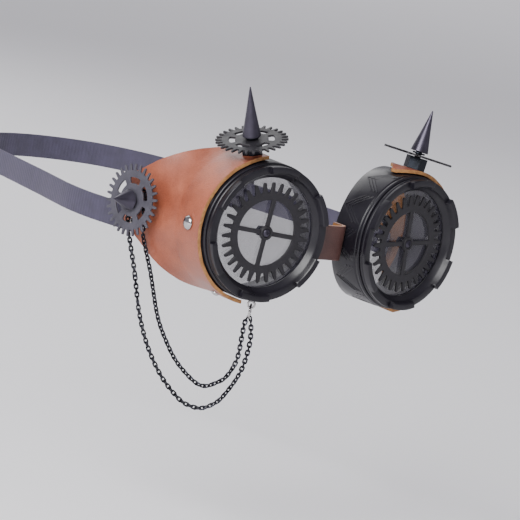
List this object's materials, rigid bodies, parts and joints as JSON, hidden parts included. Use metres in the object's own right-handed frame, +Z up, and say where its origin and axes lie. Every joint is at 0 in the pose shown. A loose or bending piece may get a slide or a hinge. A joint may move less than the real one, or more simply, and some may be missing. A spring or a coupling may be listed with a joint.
{
  "type": "costume goggles",
  "caption": "Round-lens costume goggles with cog overlays, leather side shields, spiked studs, a looped chain and an adjustable head strap.",
  "frame": {"origin": "on the bridge of the wearer's nose, midway between the nasal rear rims of the eyecups", "axes": "+X to the wearer's left, +Y to the back of the head, +Z up"},
  "size_m": [0.1904, 0.2486, 0.1511],
  "materials": {
    "black_plastic": "moulded black ABS with a satin sheen",
    "clear_lens": "clear polished acrylic",
    "rubber": "matt black rubber",
    "gunmetal": "dark grey coated metal",
    "nickel": "bright nickel plate",
    "blackened_steel": "blackened steel, slightly shiny",
    "tan_leather": "smooth tan grain leather with pale cut edges",
    "brown_leather": "dark brown leather",
    "grey_strap": "grey napped elastic webbing"
  },
  "bodies": {
    "goggles": {"right_barrel": "black_plastic", "right_lens": "clear_lens", "right_lens_gasket": "rubber", "right_lens_cog": "gunmetal", "right_lens_screw": "gunmetal", "right_lens_nut": "gunmetal", "right_side_shield": "tan_leather", "right_side_rivet": "nickel", "right_lower_rivet": "nickel", "right_top_bolt": "blackened_steel", "right_top_standoff": "blackened_steel", "right_top_washer": "blackened_steel", "right_top_spike": "gunmetal", "right_temple_bolt": "blackened_steel", "right_temple_standoff": "blackened_steel", "right_temple_washer": "blackened_steel", "right_temple_spike": "gunmetal", "right_bridge_rivet": "nickel", "right_strap": "grey_strap", "right_strap_rivet_a": "nickel", "right_strap_rivet_b": "nickel", "left_barrel": "black_plastic", "left_lens": "clear_lens", "left_lens_gasket": "rubber", "left_lens_cog": "gunmetal", "left_lens_screw": "gunmetal", "left_lens_nut": "gunmetal", "left_side_shield": "tan_leather", "left_side_rivet": "nickel", "left_lower_rivet": "nickel", "left_top_bolt": "blackened_steel", "left_top_standoff": "blackened_steel", "left_top_washer": "blackened_steel", "left_top_spike": "gunmetal", "left_temple_bolt": "blackened_steel", "left_temple_standoff": "blackened_steel", "left_temple_washer": "blackened_steel", "left_temple_spike": "gunmetal", "left_bridge_rivet": "nickel", "left_strap": "grey_strap", "left_strap_rivet_a": "nickel", "left_strap_rivet_b": "nickel", "bridge_strap": "brown_leather", "screw_eye": "nickel", "chain": "blackened_steel"},
    "right_cap": {"right_cap_ring": "black_plastic"},
    "right_top_cog": {"right_top_cog": "gunmetal"},
    "right_temple_cog": {"right_temple_cog": "gunmetal"},
    "left_cap": {"left_cap_ring": "black_plastic"},
    "left_top_cog": {"left_top_cog": "gunmetal"},
    "left_temple_cog": {"left_temple_cog": "gunmetal"},
    "jump_ring": {"jump_ring": "nickel"},
    "slider": {"strap_slider": "gunmetal"}
  },
  "joints": [
    {"name": "right_cap_unscrew", "type": "hinge", "parent": "goggles", "child": "right_cap", "pos_m": [-0.04385, -0.015, 0], "axis": [-0.1063, -0.9943, 0], "range_deg": [0, 360]},
    {"name": "left_cap_unscrew", "type": "hinge", "parent": "goggles", "child": "left_cap", "pos_m": [0.04385, -0.015, 0], "axis": [0.1063, -0.9943, 0], "range_deg": [0, 360]},
    {"name": "right_top_cog_spin", "type": "hinge", "parent": "goggles", "child": "right_top_cog", "pos_m": [-0.05229, -0.00283, 0.03978], "axis": [-0.3346, -0.0676, 0.9399], "continuous": true},
    {"name": "left_top_cog_spin", "type": "hinge", "parent": "goggles", "child": "left_top_cog", "pos_m": [0.05126, -0.00245, 0.04005], "axis": [0.1576, -0.0025, 0.9875], "continuous": true},
    {"name": "right_temple_cog_spin", "type": "hinge", "parent": "goggles", "child": "right_temple_cog", "pos_m": [-0.08383, 0.03415, 0.00116], "axis": [-0.9961, -0.0878, 0.006], "continuous": true},
    {"name": "left_temple_cog_spin", "type": "hinge", "parent": "goggles", "child": "left_temple_cog", "pos_m": [0.08383, 0.03415, 0.00116], "axis": [0.9961, -0.0878, 0.006], "continuous": true},
    {"name": "jump_ring_swing", "type": "hinge", "parent": "goggles", "child": "jump_ring", "pos_m": [-0.04042, -0.01114, -0.03587], "axis": [0.7071, -0.7071, 0], "range_deg": [-45, 45]},
    {"name": "slider_slide", "type": "slide", "parent": "goggles", "child": "slider", "axis": [-0.1909, 0.9816, 0], "range_m": [-0.015, 0.02]}
  ]
}
